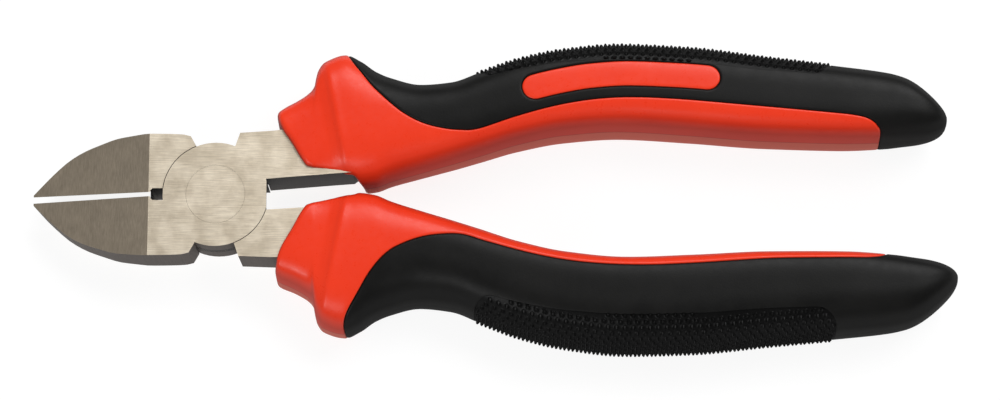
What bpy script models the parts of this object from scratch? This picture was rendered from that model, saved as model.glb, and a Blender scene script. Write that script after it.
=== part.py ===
"""Diagonal cutting pliers: two forged steel halves on a rivet, each with a three-part grip.

X runs along the tool with the cutting tips at -X, Z is its thickness, and the origin is the middle of
the rivet's lower face. Everything is drawn for the half whose handle lies at +Y, with the joint's
middle plane at z = 0. The other half is the same shape turned half a turn about X. All lengths are in
metres.
"""

import math

import bmesh
import bpy
from mathutils import Matrix, Vector

# Joint and head
HALF_THICKNESS = 0.0050
LOBE_RADIUS = 0.00905
LOBE_GAP = 0.00012
LAP_GAP = 0.0001
RIVET_RADIUS = 0.0051
RIVET_GAP = 0.00007
RIVET_CHAMFER = 0.00005
ROUND_SEGMENTS = 64
CROTCH_X = (0.00883, 0.00797)
CROTCH_HALF_WIDTH = 0.00233
TIP_X = -0.0320
EDGE_GAP_AT_TIP = 0.00055
EDGE_GAP_AT_ROOT = 0.00036
RELIEF = (-0.0112, -0.0091, 0.00105)
RELIEF_CORNER = 0.0004
FACET_START_X = -0.0115
FACET_SLOPE = 0.27
BEVEL_SLOPE = math.tan(math.radians(22))
BEVEL_END_X = -0.0111
BEVEL_END_LEAN = 0.0012

# Half width of the head from the tip back to the notch behind the jaw
JAW_SIDE = [
    (-0.0320, 0.0009),
    (-0.0311, 0.0018),
    (-0.0283, 0.0045),
    (-0.0256, 0.0067),
    (-0.0228, 0.0082),
    (-0.0200, 0.0092),
    (-0.0172, 0.01005),
    (-0.0145, 0.0104),
    (-0.0117, 0.01065),
    (-0.0075, 0.0106),
    (-0.0052, 0.01045),
    (-0.0044, 0.0102),
]
NOTCH_CORNER = (-0.0035, 0.0086)
JAW_STEPS = 24
INSIDE_LOBE = (-0.0020, -0.0040)
ROOT_X = -0.0070

# Shank behind the joint and the tang inside the grip: x, middle, half width, half thickness
SHANK_OUTER = [
    (0.0033, 0.0085),
    (0.0041, 0.0108),
    (0.0100, 0.0111),
    (0.0200, 0.0116),
    (0.0260, 0.0126),
]
SHANK_INNER = [(0.0262, 0.0062), (0.0245, 0.0038), (0.0235, 0.0030), (0.0200, 0.0028), (0.0080, 0.0027)]
TANG = [
    (0.0200, 0.0078, 0.0043, 0.0045),
    (0.0260, 0.0092, 0.0041, 0.0043),
    (0.0320, 0.0109, 0.0038, 0.0040),
    (0.0400, 0.0124, 0.0036, 0.0037),
    (0.0500, 0.0153, 0.0035, 0.0035),
    (0.0600, 0.0175, 0.0034, 0.0034),
    (0.0750, 0.0186, 0.0033, 0.0033),
    (0.0900, 0.0179, 0.0031, 0.0031),
    (0.1080, 0.0168, 0.0027, 0.0027),
]
TANG_CORNER = 0.0012
FIT_GAP = 0.0003

# Grip body, seen from above: the outer and inner sides of the +Y handle
GRIP_OUTER = [
    (0.0098, 0.0136),
    (0.0111, 0.0147),
    (0.0139, 0.0162),
    (0.0160, 0.0177),
    (0.0168, 0.0189),
    (0.0172, 0.0212),
    (0.0184, 0.0229),
    (0.0222, 0.0242),
    (0.0248, 0.0231),
    (0.0274, 0.0213),
    (0.0300, 0.0202),
    (0.0352, 0.0190),
    (0.0404, 0.01945),
    (0.0456, 0.02135),
    (0.0520, 0.02365),
    (0.0600, 0.02545),
    (0.0700, 0.02645),
    (0.0820, 0.02605),
    (0.0950, 0.0246),
    (0.1080, 0.0232),
    (0.1165, 0.02215),
    (0.1210, 0.0207),
    (0.1240, 0.0189),
    (0.1260, 0.0171),
    (0.1275, 0.0149),
]
GRIP_INNER = [
    (0.0098, 0.0013),
    (0.0222, 0.0012),
    (0.0248, 0.0008),
    (0.0274, 0.0011),
    (0.0300, 0.0021),
    (0.0352, 0.00375),
    (0.0404, 0.00535),
    (0.0456, 0.0070),
    (0.0520, 0.0091),
    (0.0600, 0.01085),
    (0.0700, 0.01165),
    (0.0820, 0.0111),
    (0.0950, 0.0103),
    (0.1080, 0.0101),
    (0.1165, 0.0104),
    (0.1210, 0.0106),
    (0.1240, 0.0110),
    (0.1260, 0.0118),
    (0.1275, 0.0132),
]
GRIP_HALF_THICKNESS = [
    (0.0098, 0.0063),
    (0.0190, 0.0063),
    (0.0232, 0.0073),
    (0.0600, 0.0072),
    (0.1080, 0.0069),
    (0.1210, 0.0062),
    (0.1260, 0.0045),
    (0.1275, 0.0028),
]
OUTER_SQUARENESS = [(0.0098, 4.0), (0.0222, 3.2), (0.0350, 2.8), (0.0600, 3.0), (0.1080, 2.9), (0.1275, 2.5)]
INNER_SQUARENESS = [
    (0.0098, 4.5),
    (0.0200, 4.0),
    (0.0248, 3.3),
    (0.0320, 3.0),
    (0.0450, 3.4),
    (0.0600, 4.2),
    (0.1080, 4.0),
    (0.1275, 2.5),
]
GRIP_ROLL = math.tan(math.radians(8))
GRIP_STATIONS = [
    0.0098, 0.0111, 0.0125, 0.0139, 0.0160, 0.0168, 0.0172, 0.0184, 0.0222, 0.0248, 0.0274, 0.0300, 0.0352,
    0.0404, 0.0456, 0.0520, 0.0580, 0.0640, 0.0700, 0.0760, 0.0820, 0.0885, 0.0950, 0.1015, 0.1080, 0.1165,
    0.1210, 0.1240, 0.1260, 0.1275,
]
RING_POINTS = 20
FRONT_EDGE = [
    (0.0098, 0.0140),
    (0.0107, 0.0120),
    (0.0116, 0.0100),
    (0.0130, 0.0078),
    (0.0151, 0.0040),
    (0.0161, 0.0030),
    (0.0190, 0.0023),
    (0.0222, 0.0014),
    (0.0240, 0.0006),
]

PLAIN_FRONT_EDGE = FRONT_EDGE[:5] + [(0.0225, 0.0040), (0.0236, 0.0034), (0.0242, 0.0024)]

# Line between the red sleeve and the black shell, on the face with the window and on the plain face
WINDOW_FACE_LINE = [
    (0.0222, 0.0262),
    (0.0234, 0.0232),
    (0.0250, 0.0208),
    (0.0275, 0.0175),
    (0.0317, 0.0136),
    (0.0354, 0.0115),
    (0.0390, 0.0105),
    (0.0421, 0.0102),
    (0.0453, 0.0105),
    (0.0516, 0.0127),
    (0.0583, 0.01465),
    (0.0648, 0.0159),
    (0.0714, 0.0164),
    (0.0796, 0.0162),
    (0.0896, 0.0155),
    (0.1060, 0.0143),
    (0.1116, 0.0138),
    (0.1134, 0.0134),
    (0.1143, 0.0122),
    (0.1143, 0.0040),
]
PLAIN_FACE_LINE = [
    (0.0214, 0.0262),
    (0.0222, 0.0224),
    (0.0246, 0.0182),
    (0.0270, 0.0142),
    (0.0294, 0.0115),
    (0.0318, 0.0100),
    (0.0354, 0.00865),
    (0.0390, 0.00805),
    (0.0426, 0.0080),
    (0.0468, 0.0092),
    (0.0551, 0.0113),
    (0.0631, 0.0125),
    (0.0730, 0.0128),
    (0.0812, 0.0124),
    (0.0896, 0.0117),
    (0.0961, 0.0112),
    (0.1061, 0.0110),
    (0.1136, 0.0110),
    (0.1152, 0.0102),
    (0.1152, 0.0040),
]
FACE_LEVEL = 0.0070
SHELL_THICKNESS = 0.0018
CORE_START_X = 0.0180
CLEAR_HEIGHT = 0.0120

# Red window in the shell: it follows the line above at a steady distance
WINDOW_X = (0.0527, 0.0869)
WINDOW_MIDDLE = 0.0041
WINDOW_HALF_WIDTH = 0.0021
WINDOW_SINK = 0.0001
WINDOW_FLOOR = 0.0020

# Knurled pad on the outer side
PAD_STATIONS = [0.0442, 0.0520, 0.0585, 0.0650, 0.0715, 0.0780, 0.0845, 0.0910, 0.0975, 0.1020, 0.1065]
PAD_EDGE = 0.50
PAD_PROUD = 0.0004
PAD_DEPTH = 0.0010
PAD_POINTS = 9
PAD_CLEARANCE = 0.0020

# The handles sit slightly askew of the jaws' centre line: sideways shift against x
LEAN = [(0.0092, 0.0), (0.0125, 0.0004), (0.0215, 0.0009), (0.0300, 0.0008), (0.1300, -0.0006)]

# The +Y grip came out a little slimmer and its tail shorter than the other's: shares of the drawn size
GRIP_WIDTH = {"right": 0.975, "left": 1.025}
TAIL_LENGTH = {"right": 0.90, "left": 1.0}
TAIL_START = 0.1165

COLOURS = {
    "ground_steel": ((0.55, 0.52, 0.47), 0.35, 1.0),
    "rivet_steel": ((0.58, 0.55, 0.50), 0.32, 1.0),
    "red_plastic": ((0.82, 0.06, 0.02), 0.35, 0.0),
    "black_rubber": ((0.020, 0.020, 0.019), 0.62, 0.0),
    "pad_rubber": ((0.012, 0.012, 0.012), 0.70, 0.0),
}


# Helpers


def between(table, x):
    """The value at x on a smooth line through the table's points."""
    if x <= table[0][0]:
        return table[0][1]
    if x >= table[-1][0]:
        return table[-1][1]
    index = max(i for i in range(len(table) - 1) if table[i][0] <= x)
    (x0, y0), (x1, y1) = table[index], table[index + 1]
    step = (y1 - y0) / (x1 - x0)
    slopes = []
    for end, (xa, ya), (xb, yb) in (
        (index > 0, table[max(index - 1, 0)], (x0, y0)),
        (index + 2 < len(table), (x1, y1), table[min(index + 2, len(table) - 1)]),
    ):
        beside = (yb - ya) / (xb - xa) if end else step
        slopes.append(2 * step * beside / (step + beside) if step * beside > 0 else 0.0)
    t = (x - x0) / (x1 - x0)
    width = x1 - x0
    return (
        y0 * (1 + 2 * t) * (1 - t) ** 2
        + slopes[0] * width * t * (1 - t) ** 2
        + y1 * t * t * (3 - 2 * t)
        - slopes[1] * width * t * t * (1 - t)
    )


def straight(table, x):
    """The value at x on straight runs between the table's points."""
    if x <= table[0][0]:
        return table[0][1]
    for (x0, y0), (x1, y1) in zip(table, table[1:]):
        if x <= x1:
            return y0 + (y1 - y0) * (x - x0) / (x1 - x0)
    return table[-1][1]


def body_of(bm):
    """A new object from a bmesh, with its faces pointing out."""
    bmesh.ops.recalc_face_normals(bm, faces=bm.faces)
    mesh = bpy.data.meshes.new("body")
    bm.to_mesh(mesh)
    bm.free()
    body = bpy.data.objects.new("body", mesh)
    bpy.context.scene.collection.objects.link(body)
    return body


def prism(outline, low, high):
    """A flat outline in the XY plane, extruded from z = low to z = high."""
    curve = bpy.data.curves.new("outline", "CURVE")
    curve.dimensions = "2D"
    curve.fill_mode = "BOTH"
    curve.extrude = (high - low) / 2
    spline = curve.splines.new("POLY")
    spline.points.add(len(outline) - 1)
    for point, (x, y) in zip(spline.points, outline):
        point.co = (x, y, 0, 1)
    spline.use_cyclic_u = True
    guide = bpy.data.objects.new("outline", curve)
    bpy.context.scene.collection.objects.link(guide)
    bpy.context.view_layer.update()
    graph = bpy.context.evaluated_depsgraph_get()
    mesh = bpy.data.meshes.new_from_object(guide.evaluated_get(graph))
    bm = bmesh.new()
    bm.from_mesh(mesh)
    bmesh.ops.remove_doubles(bm, verts=bm.verts, dist=1e-6)
    bmesh.ops.translate(bm, verts=bm.verts, vec=(0, 0, (low + high) / 2))
    bpy.data.objects.remove(guide)
    bpy.data.curves.remove(curve)
    bpy.data.meshes.remove(mesh)
    return body_of(bm)


def cylinder(radius, low, high):
    """A cylinder on the Z axis from z = low to z = high."""
    bm = bmesh.new()
    bmesh.ops.create_cone(
        bm, cap_ends=True, segments=ROUND_SEGMENTS, radius1=radius, radius2=radius, depth=high - low
    )
    bmesh.ops.translate(bm, verts=bm.verts, vec=(0, 0, (low + high) / 2))
    return body_of(bm)


def hull(points):
    """The convex solid around the points."""
    bm = bmesh.new()
    for point in points:
        bm.verts.new(point)
    bmesh.ops.convex_hull(bm, input=bm.verts)
    return body_of(bm)


def loft(rings):
    """A closed solid through rings of equally many points."""
    bm = bmesh.new()
    rows = [[bm.verts.new(point) for point in ring] for ring in rings]
    count = len(rings[0])
    for row, after in zip(rows, rows[1:]):
        for i in range(count):
            bm.faces.new((row[i], row[(i + 1) % count], after[(i + 1) % count], after[i]))
    bm.faces.new(rows[0])
    bm.faces.new(rows[-1])
    return body_of(bm)


def combine(body, other, operation):
    """Applies one Boolean and removes the other body."""
    modifier = body.modifiers.new("combine", "BOOLEAN")
    modifier.operation = operation
    modifier.solver = "EXACT"
    modifier.object = other
    bpy.context.view_layer.update()
    graph = bpy.context.evaluated_depsgraph_get()
    mesh = bpy.data.meshes.new_from_object(body.evaluated_get(graph))
    body.modifiers.clear()
    body.data = mesh
    bpy.data.objects.remove(other)
    return body


def cut(body, *cutters):
    for cutter in cutters:
        combine(body, cutter, "DIFFERENCE")
    return body


def join(body, *others):
    for other in others:
        combine(body, other, "UNION")
    return body


# Steel halves


def facet_height(x):
    """Height of the plane that the jaws' upper faces are ground to, which falls towards the tips."""
    return HALF_THICKNESS - FACET_SLOPE * (FACET_START_X - x)


def edge_gap(x):
    """Distance of a cutting edge from the middle line."""
    root = RELIEF[0]
    return EDGE_GAP_AT_ROOT + (EDGE_GAP_AT_TIP - EDGE_GAP_AT_ROOT) * (root - x) / (root - TIP_X)


def jaw_outline():
    """The jaw at -Y, with its inner end inside the lobe."""
    start, end, half = RELIEF
    length = JAW_SIDE[-1][0] - TIP_X
    along = [TIP_X + length * i / JAW_STEPS for i in range(JAW_STEPS + 1)]
    side = [(x, -between(JAW_SIDE, x)) for x in along]
    corner = (NOTCH_CORNER[0], -NOTCH_CORNER[1])
    relief = [
        (end, -half),
        (start + RELIEF_CORNER, -half),
        (start, -half + RELIEF_CORNER),
        (start, -edge_gap(start)),
    ]
    return [(TIP_X, -edge_gap(TIP_X))] + side + [corner, INSIDE_LOBE, (ROOT_X, -half)] + relief


def shank_outline(gap):
    """The part of the handle between the lobe and the tang, grown by a gap for the grip's cavity."""
    outer = [(x, y + gap) for x, y in SHANK_OUTER]
    inner = [(x, y - gap) for x, y in SHANK_INNER]
    outer[-1] = (outer[-1][0] + gap, outer[-1][1])
    inner[0] = (inner[0][0] + gap, inner[0][1])
    return [(0.0050, 0.0040), (0.0026, 0.0060)] + outer + inner


def tang(gap):
    """The tapering bar inside the grip, with chamfered corners."""
    rings = []
    for number, (x, middle, half, thick) in enumerate(TANG):
        if number == len(TANG) - 1:
            x += gap
        half += gap
        thick += gap
        corners = [
            (half, thick - TANG_CORNER), (half - TANG_CORNER, thick), (TANG_CORNER - half, thick),
            (-half, thick - TANG_CORNER), (-half, TANG_CORNER - thick), (TANG_CORNER - half, -thick),
            (half - TANG_CORNER, -thick), (half, TANG_CORNER - thick),
        ]
        rings.append([(x, middle + y, z) for y, z in corners])
    return loft(rings)


def handle_steel(gap):
    return join(prism(shank_outline(gap), -HALF_THICKNESS - gap, HALF_THICKNESS + gap), tang(gap))


def blank():
    """One half before its jaw is ground, with the lobe on the upper side of the lap joint."""
    steel = prism(jaw_outline(), -HALF_THICKNESS, HALF_THICKNESS)
    join(steel, handle_steel(0))
    cut(steel, cylinder(LOBE_RADIUS + LOBE_GAP, -2 * HALF_THICKNESS, LAP_GAP / 2))
    join(steel, cylinder(LOBE_RADIUS, LAP_GAP / 2, HALF_THICKNESS))
    return cut(steel, cylinder(RIVET_RADIUS + RIVET_GAP, -2 * HALF_THICKNESS, 2 * HALF_THICKNESS))


def facet_cutter():
    """Everything above the ground face of the jaws."""
    far = TIP_X - 0.003
    wide = 0.015
    high = 2 * HALF_THICKNESS
    profile = [(FACET_START_X, HALF_THICKNESS), (FACET_START_X, high), (far, high), (far, facet_height(far))]
    return hull([(x, y, z) for x, z in profile for y in (-wide, wide)])


def bevel_cutter(side):
    """The wedge under the cutting edge of the jaw at side * Y."""
    points = []
    low = -HALF_THICKNESS - 0.001
    for x in (TIP_X - 0.003, BEVEL_END_X):
        edge = facet_height(x)
        gap = edge_gap(x)
        points.append((x, side * gap, edge))
        points.append((x - BEVEL_END_LEAN, side * (gap + (edge - low) * BEVEL_SLOPE), low))
        points.append((x, -side * 0.001, edge))
        points.append((x - BEVEL_END_LEAN, -side * 0.001, low))
    return hull(points)


def crotch_cutter():
    """The wedge milled off the lobes between the handles, a little deeper at the bottom."""
    top, bottom = CROTCH_X
    far = LOBE_RADIUS + 0.001
    half = CROTCH_HALF_WIDTH
    high = HALF_THICKNESS + 0.001
    profile = [(top, high), (far, high), (far, -high), (bottom, -high)]
    return hull([(x, y, z) for x, z in profile for y in (-half, half)])


def ground(steel, side):
    """Grinds the jaw's upper face, the bevel under its cutting edge and the crotch between the handles."""
    return cut(steel, facet_cutter(), bevel_cutter(side), crotch_cutter())


def rivet():
    """The rivet, flush with both faces of the joint, its ends slightly chamfered."""
    body = cylinder(RIVET_RADIUS, -HALF_THICKNESS, HALF_THICKNESS)
    bm = bmesh.new()
    bm.from_mesh(body.data)
    rims = [edge for edge in bm.edges if abs(edge.verts[0].co.z - edge.verts[1].co.z) < 1e-6]
    bmesh.ops.bevel(bm, geom=rims, offset=RIVET_CHAMFER, segments=1, affect="EDGES")
    bm.to_mesh(body.data)
    bm.free()
    return body


# Grip


def grip_point(x, angle, inset):
    """A point of the grip's section at x: a rounded box, slightly rolled about the tool's length."""
    outer = between(GRIP_OUTER, x)
    inner = between(GRIP_INNER, x)
    half = (outer - inner) / 2 - inset
    thick = between(GRIP_HALF_THICKNESS, x) - inset
    across = math.cos(angle)
    up = math.sin(angle)
    power = 2 / between(OUTER_SQUARENESS if across > 0 else INNER_SQUARENESS, x)
    y = half * math.copysign(abs(across) ** power, across)
    z = thick * math.copysign(abs(up) ** power, up)
    return (x, (outer + inner) / 2 + y + z * GRIP_ROLL, z)


def grip_ring(x, inset):
    return [grip_point(x, 2 * math.pi * (i + 0.5) / RING_POINTS, inset) for i in range(RING_POINTS)]


def grip_body(inset, start=0.0):
    """The whole outer body of the grip, or a smaller one inside it."""
    rings = []
    for x in GRIP_STATIONS:
        narrow = min(between(GRIP_OUTER, x) - between(GRIP_INNER, x), 2 * between(GRIP_HALF_THICKNESS, x))
        if x >= start and narrow / 2 > inset + 0.0005:
            rings.append(grip_ring(x, inset))
    return loft(rings)


def front_cutter(side):
    """What lies ahead of the sleeve's front edge, over the bare shank, rolled like the grip.

    The right sleeve also leaves the shank's inner side bare on the plain face.
    """
    ahead = [(0.0245, -0.0050), (0.0050, -0.0050), (0.0050, 0.0200)]
    body = prism(FRONT_EDGE + ahead, -CLEAR_HEIGHT, CLEAR_HEIGHT)
    if side == "right":
        join(body, prism(PLAIN_FRONT_EDGE + ahead, -CLEAR_HEIGHT, 0.0))
    for vertex in body.data.vertices:
        vertex.co.y += vertex.co.z * GRIP_ROLL
    return body


def shell_space(shift):
    """The space on the outer side of the sleeve that the shell fills, moved away from the sleeve by shift."""
    def ring(line, z):
        near = [(x + 0.8 * shift, y + shift, z) for x, y in line]
        return near + [(0.1400, 0.0040, z), (0.1400, 0.0400, z), (0.0200, 0.0400, z)]

    return loft([
        ring(PLAIN_FACE_LINE, -CLEAR_HEIGHT),
        ring(PLAIN_FACE_LINE, -FACE_LEVEL),
        ring(WINDOW_FACE_LINE, FACE_LEVEL),
        ring(WINDOW_FACE_LINE, CLEAR_HEIGHT),
    ])


def window_prism(grow):
    """The window's outline, a band with round ends along the sleeve's edge, cut through the upper face."""
    half = WINDOW_HALF_WIDTH + grow
    start = WINDOW_X[0] + WINDOW_HALF_WIDTH
    end = WINDOW_X[1] - WINDOW_HALF_WIDTH

    def middle(x):
        return straight(WINDOW_FACE_LINE, x) + WINDOW_MIDDLE

    steps = 5
    along = [start + (end - start) * i / steps for i in range(steps + 1)]
    turns = [math.pi * i / 6 for i in range(1, 6)]
    outline = [(x, middle(x) - half) for x in along]
    outline += [(end + half * math.sin(a), middle(end) - half * math.cos(a)) for a in turns]
    outline += [(x, middle(x) + half) for x in reversed(along)]
    outline += [(start - half * math.sin(a), middle(start) + half * math.cos(a)) for a in turns]
    return prism(outline, WINDOW_FLOOR, CLEAR_HEIGHT)


def pad_solid(proud, depth, grow):
    """A strip around the outer side, from proud of the grip's surface down to depth below it."""
    rings = []
    for x in PAD_STATIONS:
        if x == PAD_STATIONS[0]:
            x -= grow
        if x == PAD_STATIONS[-1]:
            x += grow
        half_width = (between(GRIP_OUTER, x) - between(GRIP_INNER, x)) / 2
        share = PAD_EDGE - grow / half_width
        edge = math.acos(share ** (between(OUTER_SQUARENESS, x) / 2))
        angles = [edge * (2 * i / (PAD_POINTS - 1) - 1) for i in range(PAD_POINTS)]
        outside = [grip_point(x, angle, -proud) for angle in angles]
        inside = [grip_point(x, angle, depth) for angle in reversed(angles)]
        rings.append(outside + inside)
    return loft(rings)


def sleeve(side):
    """The red plastic sleeve: front guard, inner strip, core under the shell, and the raised window."""
    space = shell_space(-FIT_GAP / 2)
    cut(space, grip_body(SHELL_THICKNESS + FIT_GAP, CORE_START_X))
    window = window_prism(-FIT_GAP / 2)
    island = combine(grip_body(WINDOW_SINK), window, "INTERSECT")
    body = grip_body(0)
    cut(body, space)
    join(body, island)
    return cut(body, handle_steel(FIT_GAP), front_cutter(side))


def shell():
    """The black shell moulded over the sleeve's outer side and end."""
    body = combine(grip_body(0), shell_space(FIT_GAP / 2), "INTERSECT")
    cut(body, grip_body(SHELL_THICKNESS, CORE_START_X), window_prism(FIT_GAP / 2))
    return cut(body, pad_solid(PAD_CLEARANCE, PAD_DEPTH, FIT_GAP))


def pad():
    return pad_solid(PAD_PROUD, PAD_DEPTH - FIT_GAP, 0)


# Assembly


def material(name):
    """One Principled material from its colour, roughness and metallic value."""
    colour, roughness, metallic = COLOURS[name]
    made = bpy.data.materials.new(name)
    made.use_nodes = True
    shader = made.node_tree.nodes["Principled BSDF"]
    shader.inputs["Base Color"].default_value = (*colour, 1)
    shader.inputs["Roughness"].default_value = roughness
    shader.inputs["Metallic"].default_value = metallic
    made.diffuse_color = (*colour, 1)
    return made


def lean(mesh):
    """Shifts a mesh sideways by the handles' lean, which is nothing ahead of the shank."""
    for vertex in mesh.vertices:
        vertex.co.y += straight(LEAN, vertex.co.x)


def turned(body, half_turn):
    """The body, turned over for the other half of the tool."""
    if half_turn:
        body.data.transform(Matrix.Rotation(math.pi, 4, "X"))
    return body


def fitted(body, side):
    """Gives a grip part, drawn at +Y, its side's width about the grip's middle line and its tail's length."""
    for vertex in body.data.vertices:
        x = vertex.co.x
        middle = (between(GRIP_OUTER, x) + between(GRIP_INNER, x)) / 2
        vertex.co.y = middle + (vertex.co.y - middle) * GRIP_WIDTH[side]
        if x > TAIL_START:
            vertex.co.x = TAIL_START + (x - TAIL_START) * TAIL_LENGTH[side]
    return body


def place(body, name, colour, pivot):
    """Names a finished body and hangs it on its pivot."""
    lean(body.data)
    body.name = name
    body.data.name = name
    body.data.materials.clear()
    body.data.materials.append(material(colour))
    body.data.shade_smooth()
    body.data.set_sharp_from_angle(angle=math.radians(35))
    body.parent = pivot
    for holder in list(body.users_collection):
        holder.objects.unlink(body)
    bpy.data.collections["diagonal_cutting_pliers"].objects.link(body)
    return body


def build():
    for old in list(bpy.data.objects):
        bpy.data.objects.remove(old)
    parts = bpy.data.collections.new("diagonal_cutting_pliers")
    bpy.context.scene.collection.children.link(parts)
    pivots = {}
    for side in ("left", "right"):
        pivots[side] = bpy.data.objects.new(side + "_half_pivot", None)
        pivots[side].location = Vector((0, 0, HALF_THICKNESS))
        parts.objects.link(pivots[side])
    for side, over in (("right", False), ("left", True)):
        steel = ground(turned(blank(), over), 1 if over else -1)
        place(steel, side + "_half", "ground_steel", pivots[side])
        for part, colour, name in (
            (sleeve(side), "red_plastic", "_grip_sleeve"),
            (shell(), "black_rubber", "_grip_shell"),
            (pad(), "pad_rubber", "_grip_pad"),
        ):
            place(turned(fitted(part, side), over), side + name, colour, pivots[side])
    place(rivet(), "pivot_rivet", "rivet_steel", pivots["left"])


build()
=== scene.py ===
"""Looks of the diagonal cutting pliers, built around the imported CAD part.

X runs along the tool with the tips at -X, Z is up, all lengths are in metres. The grips are drawn once,
for the handle at +Y with the joint's middle plane at z = 0, and turned half a turn about X for the other.
"""

import math

import bmesh
import bpy
import numpy as np
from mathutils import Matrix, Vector


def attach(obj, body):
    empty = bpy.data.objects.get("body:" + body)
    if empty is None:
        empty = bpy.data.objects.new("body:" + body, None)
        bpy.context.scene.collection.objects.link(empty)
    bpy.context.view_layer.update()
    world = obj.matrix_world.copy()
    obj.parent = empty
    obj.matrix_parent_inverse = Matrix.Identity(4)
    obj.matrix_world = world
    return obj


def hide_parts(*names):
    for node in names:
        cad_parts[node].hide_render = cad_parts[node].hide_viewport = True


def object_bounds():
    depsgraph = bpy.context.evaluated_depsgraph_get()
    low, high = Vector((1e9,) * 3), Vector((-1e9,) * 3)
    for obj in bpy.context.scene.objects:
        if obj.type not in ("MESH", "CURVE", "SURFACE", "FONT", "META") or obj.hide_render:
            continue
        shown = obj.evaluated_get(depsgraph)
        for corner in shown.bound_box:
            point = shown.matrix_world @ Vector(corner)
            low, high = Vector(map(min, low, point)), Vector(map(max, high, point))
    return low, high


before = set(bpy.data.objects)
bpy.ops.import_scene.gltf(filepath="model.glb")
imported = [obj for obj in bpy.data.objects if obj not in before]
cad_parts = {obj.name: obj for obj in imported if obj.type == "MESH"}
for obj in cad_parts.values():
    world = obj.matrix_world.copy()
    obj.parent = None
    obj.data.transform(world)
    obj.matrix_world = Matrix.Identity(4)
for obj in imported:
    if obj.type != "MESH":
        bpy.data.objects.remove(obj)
cad_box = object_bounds()

# Shape of the grips, close to the CAD's: x against a distance
GRIP_OUTER = [
    (0.0098, 0.0136), (0.0111, 0.0147), (0.0139, 0.0162), (0.0160, 0.0177), (0.0168, 0.0189),
    (0.0172, 0.0212), (0.0184, 0.0229), (0.0222, 0.0242), (0.0248, 0.0231), (0.0274, 0.0213),
    (0.0300, 0.0202), (0.0352, 0.0190), (0.0404, 0.01945), (0.0456, 0.02135), (0.0520, 0.02365),
    (0.0600, 0.02545), (0.0700, 0.02645), (0.0820, 0.02605), (0.0950, 0.0246), (0.1080, 0.0232),
    (0.1165, 0.0222), (0.1210, 0.0210), (0.1280, 0.0184),
]
GRIP_INNER = [
    (0.0098, 0.0013), (0.0222, 0.0012), (0.0248, 0.0008), (0.0274, 0.0011), (0.0300, 0.0021),
    (0.0352, 0.00375), (0.0404, 0.00535), (0.0456, 0.0070), (0.0520, 0.0091), (0.0600, 0.01085),
    (0.0700, 0.01165), (0.0820, 0.0111), (0.0950, 0.0103), (0.1080, 0.0101), (0.1165, 0.0104),
    (0.1210, 0.01085), (0.1280, 0.0116),
]
GRIP_HALF_THICKNESS = [
    (0.0098, 0.0062), (0.0165, 0.0063), (0.0185, 0.0064), (0.0200, 0.0068), (0.0212, 0.00735),
    (0.0225, 0.0073), (0.0600, 0.0072), (0.1080, 0.0069), (0.1210, 0.0062), (0.1280, 0.0058),
]
# How square the section is on either side: the power of a rounded box
OUTER_SQUARENESS = [(0.0098, 4.0), (0.0222, 3.2), (0.0350, 2.8), (0.0600, 3.0), (0.1080, 2.9), (0.1275, 2.5)]
INNER_SQUARENESS = [
    (0.0098, 4.5), (0.0200, 4.0), (0.0248, 3.3), (0.0320, 3.0), (0.0450, 3.4), (0.0600, 4.2),
    (0.1080, 4.0), (0.1275, 2.5),
]
GRIP_ROLL = math.tan(math.radians(8))
GRIP_WIDTH = {"right": 0.975, "left": 1.025}
LEAN = [(0.0092, 0.0), (0.0125, 0.0004), (0.0215, 0.0009), (0.0300, 0.0008), (0.1300, -0.0006)]
TAIL_LENGTH = {"right": 0.90, "left": 1.0}
TAIL_START = 0.1165
JOINT_HEIGHT = 0.0050
GRIP_START = 0.0098
NOSE_START = 0.1190
NOSE_END = 0.1277
NOSE_TIP_Y = 0.0139
NOSE_SHIFT_POWER = 1.8
NOSE_POWER = 2.15
NOSE_THICKNESS_POWER = 0.6
# The sleeve's front edge, and the line between sleeve and shell on the two faces: x against y
FRONT_EDGE = [
    (0.0060, 0.0190), (0.0098, 0.0140), (0.0107, 0.0120), (0.0116, 0.0100), (0.0130, 0.0078),
    (0.0151, 0.0040), (0.0161, 0.0030), (0.0190, 0.0023), (0.0222, 0.0014), (0.0240, 0.0006),
    (0.0246, -0.0050),
]
WINDOW_FACE_LINE = [
    (0.0222, 0.0262), (0.0234, 0.0232), (0.0250, 0.0208), (0.0275, 0.0175), (0.0317, 0.0136),
    (0.0354, 0.0115), (0.0390, 0.0105), (0.0421, 0.0102), (0.0453, 0.0105), (0.0516, 0.0127),
    (0.0583, 0.01465), (0.0648, 0.0159), (0.0714, 0.0164), (0.0796, 0.0162), (0.0896, 0.0155),
    (0.1060, 0.0143), (0.1103, 0.0139), (0.1124, 0.0134), (0.1139, 0.0124), (0.1146, 0.0108),
    (0.1140, 0.0040),
]
PLAIN_FACE_LINE = [
    (0.0214, 0.0262), (0.0222, 0.0224), (0.0246, 0.0182), (0.0270, 0.0142), (0.0294, 0.0115),
    (0.0318, 0.0100), (0.0354, 0.00865), (0.0390, 0.00805), (0.0426, 0.0080), (0.0468, 0.0092),
    (0.0551, 0.0113), (0.0631, 0.0125), (0.0730, 0.0128), (0.0812, 0.0124), (0.0896, 0.0117),
    (0.0961, 0.0112), (0.1061, 0.0109), (0.1120, 0.0107), (0.1146, 0.0100), (0.1152, 0.0090),
    (0.1140, 0.0040),
]
FRONT_DRAW_BACK = (0.0010, 0.0028)
DRAW_BACK_TOP_Z = 0.0050
DRAW_BACK_HEIGHT = 0.0080
DRAW_BACK_TOP_Y = 0.0090
DRAW_BACK_WIDTH = 0.0040
FRONT_END = 0.0270
FACE_LEVEL = 0.0070
WINDOW_X = (0.0527, 0.0869)
WINDOW_MIDDLE = 0.00432
WINDOW_HALF_WIDTH = 0.0023
PAD_X = (0.0442, 0.1065)
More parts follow.
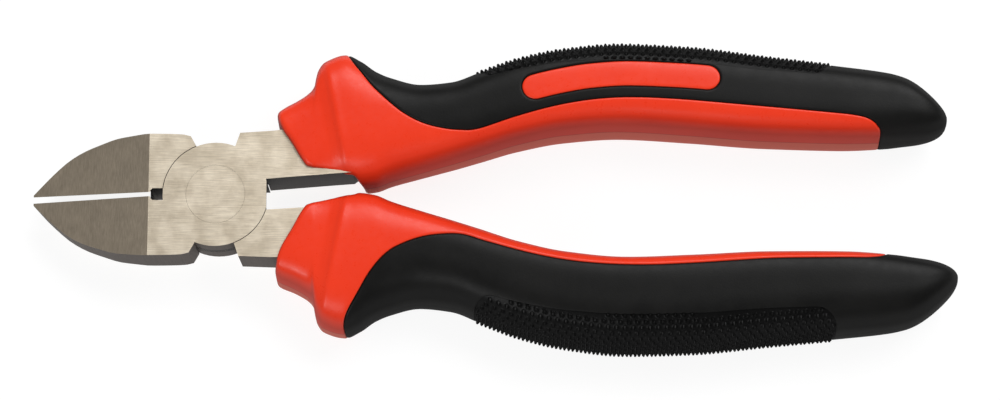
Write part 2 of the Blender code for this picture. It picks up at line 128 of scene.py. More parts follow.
# Where the pad's long edge runs, as a share of the section's half width
PAD_EDGE = [(0.0442, 0.66), (0.0560, 0.53), (0.0700, 0.45), (0.0900, 0.47), (0.1065, 0.54)]
PAD_CORNER = 0.0038


def smooth(points):
    """A smooth line through the points that never overshoots, as a function of x on arrays."""
    xs, ys = np.array(points).T
    step = np.diff(ys) / np.diff(xs)
    slope = np.concatenate([step[:1], np.zeros(len(xs) - 2), step[-1:]])
    for i in range(1, len(xs) - 1):
        if step[i - 1] * step[i] > 0:
            slope[i] = 2 * step[i - 1] * step[i] / (step[i - 1] + step[i])

    def at(x):
        x = np.clip(x, xs[0], xs[-1])
        i = np.clip(np.searchsorted(xs, x, side="right") - 1, 0, len(xs) - 2)
        width = xs[i + 1] - xs[i]
        t = (x - xs[i]) / width
        return (
            ys[i] * (1 + 2 * t) * (1 - t) ** 2
            + slope[i] * width * t * (1 - t) ** 2
            + ys[i + 1] * t * t * (3 - 2 * t)
            - slope[i + 1] * width * t * t * (1 - t)
        )

    return at


def rounded(points, steps):
    """A line through the points with soft corners, steps points to each run."""
    p = np.array(points)
    p = np.vstack([2 * p[0] - p[1], p, 2 * p[-1] - p[-2]])
    line = []
    for i in range(1, len(p) - 2):
        for t in np.arange(steps) / steps:
            a, b, c, d = p[i - 1 : i + 3]
            square = (2 * a - 5 * b + 4 * c - d) * t**2
            cube = (3 * b - a - 3 * c + d) * t**3
            line.append(0.5 * (2 * b + (c - a) * t + square + cube))
    line.append(p[-2])
    return np.array(line)


def ease(t):
    """A soft step from 0 to 1."""
    t = np.clip(t, 0, 1)
    return t * t * (3 - 2 * t)


outer_at = smooth(GRIP_OUTER)
inner_at = smooth(GRIP_INNER)
thick_at = smooth(GRIP_HALF_THICKNESS)
outer_squareness_at = smooth(OUTER_SQUARENESS)
inner_squareness_at = smooth(INNER_SQUARENESS)
pad_edge_at = smooth(PAD_EDGE)


# Materials


class Graph:
    """A node material, built one node at a time."""

    def __init__(self, name):
        self.material = bpy.data.materials.new(name)
        self.material.use_nodes = True
        self.tree = self.material.node_tree
        self.shader = self.tree.nodes["Principled BSDF"]

    def add(self, kind, inputs=None, **settings):
        """A node whose inputs are given as values or as other nodes' outputs; returns its first output."""
        node = self.tree.nodes.new("ShaderNode" + kind)
        for key, value in settings.items():
            setattr(node, key, value)
        for key, value in (inputs or {}).items():
            self.put(node.inputs[key], value)
        return node.outputs[0]

    def put(self, socket, value):
        """Links another node's output to a socket, or sets the socket's own value."""
        if isinstance(value, bpy.types.NodeSocket):
            self.tree.links.new(value, socket)
        else:
            socket.default_value = value

    def math(self, operation, *values):
        return self.add("Math", dict(enumerate(values)), operation=operation)

    def place(self):
        """Where a point is, in the row frame at rest."""
        return self.tree.nodes.new("ShaderNodeTexCoord").outputs["Object"]

    def axes(self, vector):
        """The x, y and z of a vector."""
        node = self.tree.nodes.new("ShaderNodeSeparateXYZ")
        self.tree.links.new(vector, node.inputs[0])
        return node.outputs

    def upright(self):
        """1 on level faces, 0 on walls."""
        normal = self.tree.nodes.new("ShaderNodeNewGeometry").outputs["Normal"]
        return self.math("ABSOLUTE", self.axes(normal)[2])

    def parting(self):
        """1 on the thin line at mid height where a mould's halves met."""
        off = self.math("ABSOLUTE", self.math("SUBTRACT", self.axes(self.place())[2], JOINT_HEIGHT))
        return self.math("LESS_THAN", off, PARTING_LINE_HALF)

    def noise(self, scale, detail=3.0, stretch=(1, 1, 1), roughness=0.55):
        where = self.add("Mapping", {"Vector": self.place(), "Scale": stretch})
        settings = {"Vector": where, "Scale": scale, "Detail": detail, "Roughness": roughness}
        return self.add("TexNoise", settings)

    def ramp(self, value, *stops):
        """A colour or grey that follows value; stops are (place, colour)."""
        node = self.tree.nodes.new("ShaderNodeValToRGB")
        self.tree.links.new(value, node.inputs[0])
        while len(node.color_ramp.elements) < len(stops):
            node.color_ramp.elements.new(0.5)
        for element, (place, colour) in zip(node.color_ramp.elements, stops):
            element.position = place
            element.color = (*colour, 1) if isinstance(colour, tuple) else (colour, colour, colour, 1)
        return node.outputs[0]

    def mix(self, share, first, second):
        """A colour between two others."""
        node = self.tree.nodes.new("ShaderNodeMix")
        node.data_type = "RGBA"
        for socket, value in ((node.inputs[0], share), (node.inputs[6], first), (node.inputs[7], second)):
            self.put(socket, (*value, 1) if isinstance(value, tuple) else value)
        return node.outputs[2]

    def bump(self, height, distance, strength=1.0, normal=None):
        inputs = {"Height": height, "Distance": distance, "Strength": strength}
        if normal is not None:
            inputs["Normal"] = normal
        return self.add("Bump", inputs)

    def finish(self, **inputs):
        """Fills the shader's sockets and returns the material."""
        for key, value in inputs.items():
            socket = self.shader.inputs[key.replace("_", " ")]
            self.put(socket, (*value, 1) if isinstance(value, tuple) else value)
        return self.material


def red_plastic():
    """Satin plastic with a parting line at mid height; rougher walls darkened by painted shade, paler below
    from a painted floor reflection.
    """
    g = Graph("red_plastic")
    patches = g.noise(90, 4)
    top = g.ramp(patches, (0.3, (0.82, 0.036, 0.008)), (0.7, (0.88, 0.044, 0.011)))
    # Painted shade: the walls get a darker copy of the red than the level faces.
    shaded_wall_colour = g.ramp(patches, (0.3, (0.40, 0.018, 0.003)), (0.7, (0.46, 0.022, 0.004)))
    on_top = g.ramp(g.upright(), (0.25, 0.0), (0.75, 1.0))
    colour = g.mix(on_top, shaded_wall_colour, top)
    height = g.axes(g.place())[2]
    # Painted reflection of the floor: below mid height the walls are mixed towards a pale pink.
    low = g.ramp(g.math("MULTIPLY", g.math("ADD", height, 0.01), 50.0), (0.74, 1.0), (0.75, 0.0))
    painted_floor_reflection = g.math("MULTIPLY", low, g.math("SUBTRACT", 1.0, on_top))
    colour = g.mix(g.math("MULTIPLY", painted_floor_reflection, 0.45), colour, (0.42, 0.15, 0.10))
    colour = g.mix(g.math("MULTIPLY", g.parting(), 0.85), colour, (0.20, 0.008, 0.003))
    scuffs = g.noise(900, 5, roughness=0.7)
    rough = g.mix(on_top, (0.68, 0.68, 0.68), g.ramp(scuffs, (0.35, 0.26), (0.7, 0.38)))
    grain = g.bump(g.noise(2600, 2), 0.00002, 0.35)
    flow = g.bump(g.noise(160, 2), 0.0004, 0.12, normal=grain)
    return g.finish(Base_Color=colour, Roughness=rough, Normal=flow, Specular_IOR_Level=0.30)


def rubber(name, dark, light, roughness, specular):
    """Black soft-touch rubber with a parting line, duller on the walls."""
    g = Graph(name)
    colour = g.ramp(g.noise(120, 5), (0.3, dark), (0.75, light))
    colour = g.mix(g.parting(), colour, (0.001, 0.001, 0.001))
    fine = g.noise(700, 5, roughness=0.7)
    rough = g.ramp(fine, (0.3, roughness - 0.05), (0.75, roughness + 0.06))
    rough = g.mix(g.ramp(g.upright(), (0.35, 0.0), (0.85, 1.0)), (0.85, 0.85, 0.85), rough)
    skin = g.bump(g.noise(4200, 3), 0.00003, 0.5)
    return g.finish(Base_Color=colour, Roughness=rough, Normal=skin, Specular_IOR_Level=specular)


def lap_shadow(g, x, y, z):
    """1 beside the seam between the two lobes and inside the relief hole and the crotch, else 0."""
    from_axis = g.math("ADD", g.math("POWER", x, 2.0), g.math("POWER", y, 2.0))
    near_axis = g.math("LESS_THAN", from_axis, LAP_RADIUS**2)
    near_middle = g.math("LESS_THAN", g.math("ABSOLUTE", g.math("SUBTRACT", z, JOINT_HEIGHT)), LAP_SEAM_HALF)
    between_halves = g.math("LESS_THAN", g.math("ABSOLUTE", y), CROTCH_HALF)
    behind_tips = g.math("GREATER_THAN", x, CROTCH_START)
    seam = g.math("MULTIPLY", near_axis, near_middle)
    gap = g.math("MULTIPLY", g.math("MULTIPLY", between_halves, behind_tips), 0.75)
    return g.math("MAXIMUM", seam, gap)


def steel(name):
    """Ground steel: streaks along the tool on the flat faces; painted shade darkens the ground facets and the
    walls, which carry fine lines.
    """
    g = Graph(name)
    x, y, z = g.axes(g.place())
    up = g.upright()
    flat = g.ramp(up, (0.55, 0.0), (0.8, 1.0))
    level = g.ramp(up, (0.972, 0.0), (0.985, 1.0))
    streaks = g.noise(1.0, 4, stretch=(260, 5200, 900), roughness=0.65)
    cloud = g.noise(330, 4)
    lines = g.noise(1.0, 4, stretch=(5200, 5200, 160), roughness=0.6)
    grain = g.noise(1.0, 4, stretch=(5200, 700, 900), roughness=0.6)
    pale = g.mix(g.ramp(cloud, (0.35, 0.0), (0.68, 1.0)), (0.70, 0.605, 0.465), (0.87, 0.775, 0.625))
    top = g.mix(g.ramp(streaks, (0.30, 0.55), (0.60, 0.0)), pale, (0.46, 0.39, 0.30))
    # Painted shade: sloped ground facets get a darker copy of the steel; the grain is the steel's own.
    shaded_facet_colour = g.mix(grain, (0.29, 0.240, 0.182), (0.60, 0.51, 0.395))
    face = g.mix(level, shaded_facet_colour, top)
    # Painted shade: the walls get a dark copy of the steel; the fine lines on them are the steel's own.
    shaded_wall_colour = g.mix(lines, (0.030, 0.023, 0.019), (0.105, 0.084, 0.071))
    shaded_wall_colour = g.mix(lap_shadow(g, x, y, z), shaded_wall_colour, (0.004, 0.003, 0.003))
    colour = g.mix(flat, shaded_wall_colour, face)
    rough_face = g.ramp(cloud, (0.3, 0.40), (0.75, 0.48))
    rough = g.mix(flat, (0.62, 0.62, 0.62), rough_face)
    fine = g.bump(g.mix(flat, lines, g.mix(level, grain, streaks)), 0.00004, 0.5)
    return g.finish(Base_Color=colour, Metallic=1.0, Roughness=rough, Normal=fine)


PARTING_LINE_HALF = 0.0001
LAP_RADIUS = 0.0094
LAP_SEAM_HALF = 0.0008
CROTCH_HALF = 0.0042
CROTCH_START = -0.0120
MATERIALS = {
    "red": red_plastic(),
    "black": rubber("black_rubber", (0.0030, 0.0030, 0.0028), (0.0062, 0.0060, 0.0056), 0.42, 0.16),
    "pad": rubber("pad_rubber", (0.0008, 0.0008, 0.0008), (0.0030, 0.0030, 0.0030), 0.34, 0.13),
    "steel": steel("forged_steel"),
}


# The grips' surface


USUAL_HALF_WIDTH = 8.0
USUAL_HALF_HEIGHT = 7.2
USUAL_SQUARENESS = 3.3


def rounded_box_angles():
    """Angles that space points evenly along a rounded box of a grip's usual proportions."""
    angle = np.linspace(0, 2 * np.pi, 7201)
    power = 2 / USUAL_SQUARENESS
    across = USUAL_HALF_WIDTH * np.sign(np.cos(angle)) * np.abs(np.cos(angle)) ** power
    up = USUAL_HALF_HEIGHT * np.sign(np.sin(angle)) * np.abs(np.sin(angle)) ** power
    length = np.concatenate([[0], np.cumsum(np.hypot(np.diff(across), np.diff(up)))])
    return length / length[-1], angle


ROUND_SHARE, ROUND_ANGLE = rounded_box_angles()
CREASE_SLANT = 0.2
CREASE_MIDDLE_Y = 0.0105
CREASE_END_X = 0.0240
CREASE_FADE = 0.0060


def grip_surface(x, share):
    """Points of the +Y grip's smooth surface, share running once round the section from the outer side."""
    angle = np.interp(share % 1.0, ROUND_SHARE, ROUND_ANGLE)
    across, up = np.cos(angle), np.sin(angle)
    nose = np.clip((x - NOSE_START) / (NOSE_END - NOSE_START), 0, 0.9995)
    closing = (1 - nose**NOSE_POWER) ** (1 / NOSE_POWER)
    half = (outer_at(x) - inner_at(x)) / 2 * closing
    middle = (outer_at(x) + inner_at(x)) / 2
    middle = middle + (NOSE_TIP_Y - middle) * nose**NOSE_SHIFT_POWER
    power = 2 / np.where(across > 0, outer_squareness_at(x), inner_squareness_at(x))
    y = half * np.sign(across) * np.abs(across) ** power
    slanted = x + CREASE_SLANT * (middle + y - CREASE_MIDDLE_Y)
    slanted = slanted + (x - slanted) * ease((x - CREASE_END_X) / CREASE_FADE)
    thick = thick_at(slanted) * closing**NOSE_THICKNESS_POWER
    z = thick * np.sign(up) * np.abs(up) ** power
    return np.stack([x, middle + y + z * GRIP_ROLL, z], axis=-1)


def grip_normal(x, share):
    """Outward normals of the grip's surface."""
    dx = 0.00008
    ds = 0.0012
    x = np.clip(x, GRIP_START, NOSE_END - 1.5 * dx)
    along = grip_surface(x + dx, share) - grip_surface(x - dx, share)
    around = grip_surface(x, share + ds) - grip_surface(x, share - ds)
    normal = np.cross(around, along)
    return normal / np.linalg.norm(normal, axis=1, keepdims=True)


def placed(points, side):
    """Puts points of the +Y grip where that side's grip is."""
    share, over = GRIP_WIDTH[side], -1 if side == "left" else 1
    x, y, z = np.array(points).T
    middle = (outer_at(x) + inner_at(x)) / 2
    y = (middle + (y - middle) * share) * over
    x = np.where(x > TAIL_START, TAIL_START + (x - TAIL_START) * TAIL_LENGTH[side], x)
    lean_x, lean_y = np.array(LEAN).T
    return np.stack([x, y + np.interp(x, lean_x, lean_y), z * over + JOINT_HEIGHT], axis=-1)


def line_distance(x, y, starts, ends, sign=True):
    """Distance from points to a chain of segments, positive on the left of it."""
    best = np.full(len(x), np.inf)
    signed = np.zeros(len(x))
    for (ax, ay), (bx, by) in zip(starts, ends):
        ex, ey = bx - ax, by - ay
        t = np.clip(((x - ax) * ex + (y - ay) * ey) / (ex * ex + ey * ey), 0, 1)
        dx, dy = x - ax - t * ex, y - ay - t * ey
        d = np.hypot(dx, dy)
        nearer = d < best
        best = np.where(nearer, d, best)
        signed = np.where(nearer, np.sign(ex * (y - ay) - ey * (x - ax)) * d, signed)
    return signed if sign else best


FAR = 0.01
WINDOW_LINE = rounded(WINDOW_FACE_LINE, 5)
PLAIN_LINE = rounded(PLAIN_FACE_LINE, 5)
FRONT_LINE = rounded(FRONT_EDGE, 4)


def shell_field(x, share):
    """Distance from the line between sleeve and shell, positive where the shell is."""
    px, py, pz = grip_surface(x, share).T
    t = np.clip((pz + FACE_LEVEL) / (2 * FACE_LEVEL), 0, 1)
    pairs = zip(PLAIN_LINE, WINDOW_LINE)
    chain = [(a[0] + (b[0] - a[0]) * t, a[1] + (b[1] - a[1]) * t) for a, b in pairs]
    return line_distance(px, py, chain[:-1], chain[1:])


def window_field(x, share):
    """Distance from the window's round-ended outline, negative inside it, on the face that has the window."""
    px, py, pz = grip_surface(x, share).T
    centre_x = np.linspace(WINDOW_X[0] + WINDOW_HALF_WIDTH, WINDOW_X[1] - WINDOW_HALF_WIDTH, 30)
    centre_y = smooth(WINDOW_FACE_LINE[:-1])(centre_x) + WINDOW_MIDDLE
    chain = list(zip(centre_x, centre_y))
    distance = line_distance(px, py, chain[:-1], chain[1:], sign=False) - WINDOW_HALF_WIDTH
    return np.where(pz > 0, distance, FAR)


def front_field(x, share, side):
    """Distance from the sleeve's front edge, positive behind it.

    On the right grip the edge draws back towards the plain face, so the shank's inner side lies bare.
    """
    px, py, pz = grip_surface(x, share).T
    flat_y = py - pz * GRIP_ROLL
    low = ease((DRAW_BACK_TOP_Z - pz) / DRAW_BACK_HEIGHT)
    inside = ease((DRAW_BACK_TOP_Y - flat_y) / DRAW_BACK_WIDTH)
    back = low * inside * (side == "right")
    at_x, at_y = px - FRONT_DRAW_BACK[0] * back, flat_y - FRONT_DRAW_BACK[1] * back
    distance = line_distance(at_x, at_y, FRONT_LINE[:-1], FRONT_LINE[1:])
    return np.where(px > FRONT_END, FAR, distance)


def pad_field(x, share):
    """Distance from the pad's outline along the surface, positive inside the pad."""
    px, py, pz = grip_surface(x, share).T
    half = (outer_at(x) - inner_at(x)) / 2
    rise = (py - pz * GRIP_ROLL - (outer_at(x) + inner_at(x)) / 2) - pad_edge_at(x) * half
    centre = (PAD_X[0] + PAD_X[1]) / 2
    reach = (PAD_X[1] - PAD_X[0]) / 2
    end = reach - np.abs(px - centre)
    corner_x, corner_y = PAD_CORNER - end, PAD_CORNER - rise
    in_corner = (corner_x > 0) & (corner_y > 0)
    return np.where(in_corner, PAD_CORNER - np.hypot(corner_x, corner_y), np.minimum(end, rise))


# Surfaces cut along level lines. A sheet is drawn flat, x against share times SHARE_SCALE.

SHARE_SCALE = 0.05
ON_LINE = 2e-6


def sheet(xs, shares, fields):
    """A grid over x and share, with extra edges along the given levels of each field."""
    bm = bmesh.new()
    grid = [[bm.verts.new((x, s, 0)) for s in shares] for x in xs]
    for row, after in zip(grid, grid[1:]):
        for a, b, c, d in zip(row, row[1:], after[1:], after):
            bm.faces.new((a, b, c, d))
    for field, levels in fields:
        for level in levels:
            value = field(*shares_of(np.array([v.co for v in bm.verts]))) - level
            value[np.abs(value) < ON_LINE] = ON_LINE
            bm.verts.index_update()
            for vertex, z in zip(bm.verts, value):
                vertex.co.z = z
            crossed = []
            for face in bm.faces:
                heights = [v.co.z for v in face.verts]
                if min(heights) < 0 < max(heights):
                    crossed.append(face)
            edges = list({e for f in crossed for e in f.edges})
            verts = list({v for f in crossed for v in f.verts})
            level_plane = {"plane_co": (0, 0, 0), "plane_no": (0, 0, 1)}
            bmesh.ops.bisect_plane(bm, geom=crossed + edges + verts, dist=1e-9, **level_plane)
    for vertex in bm.verts:
        vertex.co.z = 0
    return bm


def shares_of(co):
    """The x and share of a sheet's flat points."""
    return co[:, 0], co[:, 1] / SHARE_SCALE


def kept(bm, keep):
    """Removes the faces whose middles keep() turns down."""
    faces = list(bm.faces)
    middles = np.array([f.calc_center_median() for f in faces])
    x, share = shares_of(middles)
    drop = [f for f, k in zip(faces, keep(x, share)) if not k]
    bmesh.ops.delete(bm, geom=drop, context="FACES")
    loose = [v for v in bm.verts if not v.link_faces]
    bmesh.ops.delete(bm, geom=loose, context="VERTS")


def dip(distance, width, depth):
    """How far a rounded edge falls away, from nothing at width in from the edge to depth at the edge."""
    t = np.clip(1 - distance / width, 0, 1)
    return depth * (1 - np.sqrt(np.clip(1 - t * t, 0, 1)))


def raised(bm, depth):
    """Turns a sheet's vertices into points on the grip, sunk by depth(x, share), and closes its seam."""
    co = np.array([v.co for v in bm.verts])
    x, share = shares_of(co)
    normal = grip_normal(x, share)
    points = grip_surface(x, share) - normal * depth(x, share)[:, None]
    layer = bm.verts.layers.float_vector.new("outward")
    for vertex, point, out in zip(bm.verts, points, normal):
        vertex.co = point
        vertex[layer] = out
    bmesh.ops.remove_doubles(bm, verts=bm.verts, dist=1e-6)


def skirt(bm, depth, edges):
    """Turns open edges inwards by depth, so that the sheet shows its thickness."""
    layer = bm.verts.layers.float_vector["outward"]
    inward = {}
    for edge in edges:
        for vertex in edge.verts:
            if vertex not in inward:
                inward[vertex] = bm.verts.new(vertex.co - vertex[layer] * depth)
    for edge in edges:
        loop = edge.link_loops[0]
        a, b = loop.vert, loop.link_loop_next.vert
        bm.faces.new((b, a, inward[a], inward[b]))


def open_edges(bm):
    """The open edges, without those around the nose's tip."""
    end = max(v.co.x for v in bm.verts) - 1e-5
    return [e for e in bm.edges if len(e.link_faces) == 1 and min(v.co.x for v in e.verts) < end]


def finished(bm, name, side, material, body):
    """A placed object from a bmesh drawn for the +Y grip."""
    bmesh.ops.remove_doubles(bm, verts=bm.verts, dist=1e-6)
    points = placed([v.co for v in bm.verts], side)
    for vertex, point in zip(bm.verts, points):
        vertex.co = point
    mesh = bpy.data.meshes.new(name)
    bm.to_mesh(mesh)
    bm.free()
    mesh.shade_smooth()
    mesh.set_sharp_from_angle(angle=math.radians(50))
    obj = bpy.data.objects.new(name, mesh)
    bpy.context.scene.collection.objects.link(obj)
    mesh.materials.append(material)
    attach(obj, body)
    return obj


GROOVE = 0.00008
EDGE_WIDTH = 0.00035
EDGE_DEPTH = 0.00022
CORE_DEPTH = 0.0009
CORE_END = NOSE_END - 0.0020
SHELL_SKIRT = CORE_DEPTH - 0.0001
PAD_BORDER_WIDTH = 0.00012
PAD_BORDER_DEPTH = 0.00006
LIP_RADIUS = 0.0009
WINDOW_SINK = 0.00005
SHANK_GAP_HEIGHT = 0.00515
SHANK_OUTER_Y = 0.0113
SHANK_OUTER_START = 0.0112
SHANK_INNER_Y = 0.0028
SHANK_GAP_END = 0.0190
SHANK_GAP_FADE = 0.0012
TUNNEL_DEPTH = 0.0030

# The grid over a grip: fine at the front, coarser along the handle, closer together towards the tip
FRONT_GRID_END = 0.0262
HANDLE_GRID_END = 0.1200
SECTION_STEPS = 112
FRONT_X = np.arange(GRIP_START, FRONT_GRID_END, 0.00025)
HANDLE_X = np.arange(FRONT_GRID_END, HANDLE_GRID_END, 0.00055)
NOSE_X = NOSE_END - (NOSE_END - HANDLE_GRID_END) * np.cos(np.linspace(0, np.pi / 2, 26)) ** 1.3
NOSE_X = np.minimum(NOSE_X, NOSE_END - 0.00006)
GRIP_X = np.concatenate([FRONT_X, HANDLE_X, NOSE_X[:-1]])
GRIP_SHARES = (np.arange(SECTION_STEPS + 1) / SECTION_STEPS - 0.5) * SHARE_SCALE


def sleeve_depth(x, share, side):
    """How far the sleeve lies below the grip's surface: rounded edges, and the core under the shell."""
    red = -shell_field(x, share) - GROOVE / 2
    island = -window_field(x, share) - GROOVE / 2
    window = WINDOW_SINK + dip(island, EDGE_WIDTH, EDGE_DEPTH)
    depth = np.where(island > -1e-7, window, CORE_DEPTH)
    depth = np.where(red > -1e-7, dip(red, EDGE_WIDTH, EDGE_DEPTH), depth)
    return depth + dip(front_field(x, share, side), LIP_RADIUS, LIP_RADIUS)


def front_wall(bm, side):
    """Closes the sleeve's front down to the shank, and runs on a little way into the tunnel around it."""
    rim = [e for e in open_edges(bm) if e.verts[0].co.x < FRONT_END]
    inner, deep = {}, {}
    for edge in rim:
        for vertex in edge.verts:
            if vertex in inner:
                continue
            x, y, z = vertex.co
            flat_y = y - z * GRIP_ROLL
            height = SHANK_GAP_HEIGHT
            if side == "left":
                height *= float(ease((SHANK_GAP_END - x) / SHANK_GAP_FADE))
            if abs(z) < height:
                flat_y = max(flat_y, SHANK_INNER_Y - z * GRIP_ROLL)
            z = min(max(z, -height), height)
            if flat_y > SHANK_OUTER_Y:
                flat_y = SHANK_OUTER_Y
                x = max(x, SHANK_OUTER_START)
            inner[vertex] = bm.verts.new((x, flat_y + z * GRIP_ROLL, z))
            deep[vertex] = bm.verts.new((x + TUNNEL_DEPTH, flat_y + z * GRIP_ROLL, z))
    for edge in rim:
        loop = edge.link_loops[0]
        a, b = loop.vert, loop.link_loop_next.vert
        bm.faces.new((b, a, inner[a], inner[b]))
        bm.faces.new((inner[b], inner[a], deep[a], deep[b]))


def nose_cap(bm):
    """Closes the small hole at the handle's tip."""
    rim = [e for e in bm.edges if len(e.link_faces) == 1]
    bmesh.ops.holes_fill(bm, edges=[e for e in rim if min(v.co.x for v in e.verts) > NOSE_START])


# Distances from the lines between the pieces at which their sheets are cut, so that edges can be rounded
GROOVE_LEVELS = [-GROOVE / 2 - k * EDGE_WIDTH for k in (1, 0.6, 0.3, 0.1, 0)]
LIP_LEVELS = [k * LIP_RADIUS for k in (0, 0.12, 0.3, 0.6, 1)]
BORDER_LEVELS = [-k * PAD_BORDER_WIDTH for k in (1, 0.4, 0)]


def sleeve(side, body):
    """The red sleeve, with the core under the shell and the raised window."""

    def front(x, share):
        return front_field(x, share, side)

    levels = GROOVE_LEVELS + [GROOVE / 2]
    cuts = [(front, LIP_LEVELS), (shell_field, levels), (window_field, levels)]
    red = sheet(GRIP_X[GRIP_X < CORE_END], GRIP_SHARES, cuts)
    kept(red, lambda x, share: front(x, share) > 0)
    raised(red, lambda x, share: sleeve_depth(x, share, side))
    front_wall(red, side)
    nose_cap(red)
    look = finished(red, side + "_sleeve_look", side, MATERIALS["red"], body)
    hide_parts(side + "_grip_sleeve")


def shell(side, body):
    """The black shell, a sheet with turned-in edges around the window and the pad."""
    levels = [-v for v in reversed(GROOVE_LEVELS)]
    inside = GROOVE / 2
    cuts = [(shell_field, levels), (window_field, levels), (pad_field, BORDER_LEVELS)]
    black = sheet(GRIP_X, GRIP_SHARES, cuts)

    def is_shell(x, share):
        in_shell, off_window = shell_field(x, share) > inside, window_field(x, share) > inside
        return in_shell & off_window & (pad_field(x, share) < 0)

    def shell_depth(x, share):
        depth = dip(shell_field(x, share) - inside, EDGE_WIDTH, EDGE_DEPTH)
        depth += dip(window_field(x, share) - inside, EDGE_WIDTH, EDGE_DEPTH)
        return depth + dip(-pad_field(x, share), PAD_BORDER_WIDTH, PAD_BORDER_DEPTH)

    kept(black, is_shell)
    raised(black, shell_depth)
    skirt(black, SHELL_SKIRT, open_edges(black))
    nose_cap(black)
    look = finished(black, side + "_shell_look", side, MATERIALS["black"], body)
    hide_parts(side + "_grip_shell")


PIN_PITCH = 0.00143
PIN_ROW = 0.00108
PIN_RADIUS = 0.00044
PIN_SLOPE = 0.00034
PIN_HEIGHT = 0.00060
PIN_SHOWN = 0.3 * PIN_RADIUS
SECTION_LENGTH = 0.0505
PAD_FLOOR = 0.0002
PAD_SKIRT = 0.0005
PAD_STEP_X = 0.00017
PAD_STEP_SHARE = 0.0033


def pin_height(x, share):
    """Rows of small rounded pins, every second row moved on by half a pitch."""
    around = share * SECTION_LENGTH
    row = np.round(around / PIN_ROW)
    shift = (row % 2) * PIN_PITCH / 2
    middle_x = np.round((x - shift) / PIN_PITCH) * PIN_PITCH + shift
    distance = np.hypot(x - middle_x, around - row * PIN_ROW)
    whole = pad_field(middle_x, row * PIN_ROW / SECTION_LENGTH) > PIN_SHOWN
    return whole * PIN_HEIGHT * ease((PIN_RADIUS - distance) / PIN_SLOPE)


def pad(side, body):
    """The knurled pad, over the outer half of the section."""
    xs = np.arange(PAD_X[0], PAD_X[1] + 0.0001, PAD_STEP_X)
    shares = np.arange(-0.25, 0.2501, PAD_STEP_SHARE) * SHARE_SCALE
    knurl = sheet(xs, shares, [(pad_field, [0, PAD_BORDER_WIDTH])])
    kept(knurl, lambda x, share: pad_field(x, share) > 0)

    def depth(x, share):
        return PAD_FLOOR - pin_height(x, share)

    raised(knurl, depth)
    rim = [e for e in knurl.edges if len(e.link_faces) == 1]
    skirt(knurl, PAD_SKIRT, rim)
    look = finished(knurl, side + "_pad_look", side, MATERIALS["pad"], body)
    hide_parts(side + "_grip_pad")


for side in ("right", "left"):
    for build in (sleeve, shell, pad):
        build(side, side + "_side")


# Steel parts, carried over from the CAD

BEVEL_WIDTH = 0.00018
for node in ("right_half", "left_half", "pivot_rivet"):
    steel_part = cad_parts[node]
    steel_part.data.materials.clear()
    steel_part.data.materials.append(MATERIALS["steel"])
    if node != "pivot_rivet":
        bevel = steel_part.modifiers.new("edges", "BEVEL")
        bevel.width = BEVEL_WIDTH
        bevel.segments = 2
        bevel.limit_method = "ANGLE"
        bevel.angle_limit = math.radians(35)

RING_RADII = (0.0049, 0.0054)
RING_SEGMENTS = 128
RING_SINK = 0.00003


def rivet_ring(name, z, up):
    """A thin upset rim that fills the gap around one end of the rivet."""
    bm = bmesh.new()
    turns = [2 * math.pi * i / RING_SEGMENTS for i in range(RING_SEGMENTS)]
    inner, outer = ([bm.verts.new((r * math.cos(a), r * math.sin(a), z)) for a in turns] for r in RING_RADII)
    for i in range(RING_SEGMENTS):
        face = bm.faces.new((inner[i - 1], outer[i - 1], outer[i], inner[i]))
        if not up:
            face.normal_flip()
    mesh = bpy.data.meshes.new(name)
    bm.to_mesh(mesh)
    bm.free()
    mesh.materials.append(MATERIALS["steel"])
    ring = bpy.data.objects.new(name, mesh)
    bpy.context.scene.collection.objects.link(ring)
    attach(ring, "right_side")


rivet_ring("rivet_ring_top", 2 * JOINT_HEIGHT - RING_SINK, True)
rivet_ring("rivet_ring_bottom", RING_SINK, False)


# Camera, fitted to the viewing angle: the tool lies flat and is seen from above, slightly from -Y
CAMERA_DISTANCE = 0.550
CAMERA_TILT = math.radians(11.7)
CAMERA_TARGET = Vector((0.0489, 0.0, JOINT_HEIGHT))
SENSOR_WIDTH = 36.0
VIEW_WIDTH = 0.1733
WORLD_STRENGTH = 0.30
# Name, place, size and watts of each light
LIGHTS = [
    ("key", (0.36, 0.50, 0.75), (0.9, 0.5), 7.3),
    ("fill", (-0.20, -0.5, 0.6), (0.5, 0.3), 1.3),
    ("glint", (-0.32, -0.42, 0.42), (0.14, 0.10), 0.5),
]
FLOOR_GLOW = 0.88
FLOOR_DROP = 0.0002


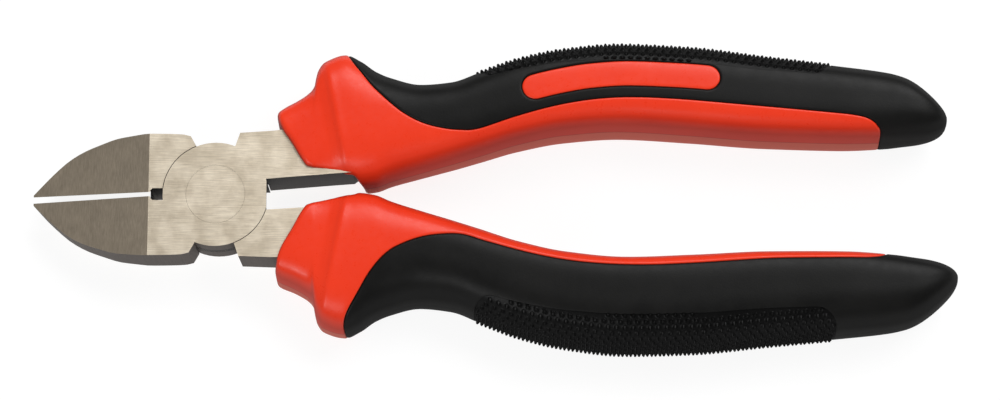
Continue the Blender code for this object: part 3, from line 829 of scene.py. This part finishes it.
def camera():
    """The camera at the viewing angle, aimed past the joint at the middle of the tool."""
    data = bpy.data.cameras.new("camera")
    data.sensor_width = SENSOR_WIDTH
    data.lens = SENSOR_WIDTH * CAMERA_DISTANCE / VIEW_WIDTH
    data.clip_start = 0.01
    data.clip_end = 10
    cam = bpy.data.objects.new("camera", data)
    away = Vector((0, -math.sin(CAMERA_TILT), math.cos(CAMERA_TILT)))
    cam.location = CAMERA_TARGET + away * CAMERA_DISTANCE
    cam.rotation_euler = away.to_track_quat("Z", "Y").to_euler()
    bpy.context.scene.collection.objects.link(cam)
    bpy.context.scene.camera = cam


def area_light(name, location, size, energy):
    """A soft rectangular light that faces the tool."""
    data = bpy.data.lights.new(name, "AREA")
    data.shape = "RECTANGLE"
    data.size, data.size_y = size
    data.energy = energy
    lamp = bpy.data.objects.new(name, data)
    lamp.location = location
    lamp.rotation_euler = (lamp.location - CAMERA_TARGET).to_track_quat("Z", "Y").to_euler()
    bpy.context.scene.collection.objects.link(lamp)


def studio():
    """An even pale world and the lights."""
    world = bpy.data.worlds.new("studio")
    world.use_nodes = True
    background = world.node_tree.nodes["Background"]
    background.inputs["Color"].default_value = (1, 1, 1, 1)
    background.inputs["Strength"].default_value = WORLD_STRENGTH
    bpy.context.scene.world = world
    bpy.context.scene.view_settings.view_transform = "Standard"
    for light in LIGHTS:
        area_light(*light)


def floor():
    """A plain pale floor just under the tool."""
    bm = bmesh.new()
    bmesh.ops.create_grid(bm, x_segments=1, y_segments=1, size=3)
    mesh = bpy.data.meshes.new("floor")
    bm.to_mesh(mesh)
    bm.free()
    obj = bpy.data.objects.new("floor", mesh)
    obj.location.z = cad_box[0][2] - FLOOR_DROP
    bpy.context.scene.collection.objects.link(obj)
    g = Graph("floor")
    speckle = g.ramp(g.noise(40, 2), (0.3, 0.14), (0.7, 0.16))
    glow = {"Emission_Color": (1, 1, 1), "Emission_Strength": FLOOR_GLOW}
    mesh.materials.append(g.finish(Base_Color=speckle, Roughness=0.9, **glow))


camera()
studio()
floor()
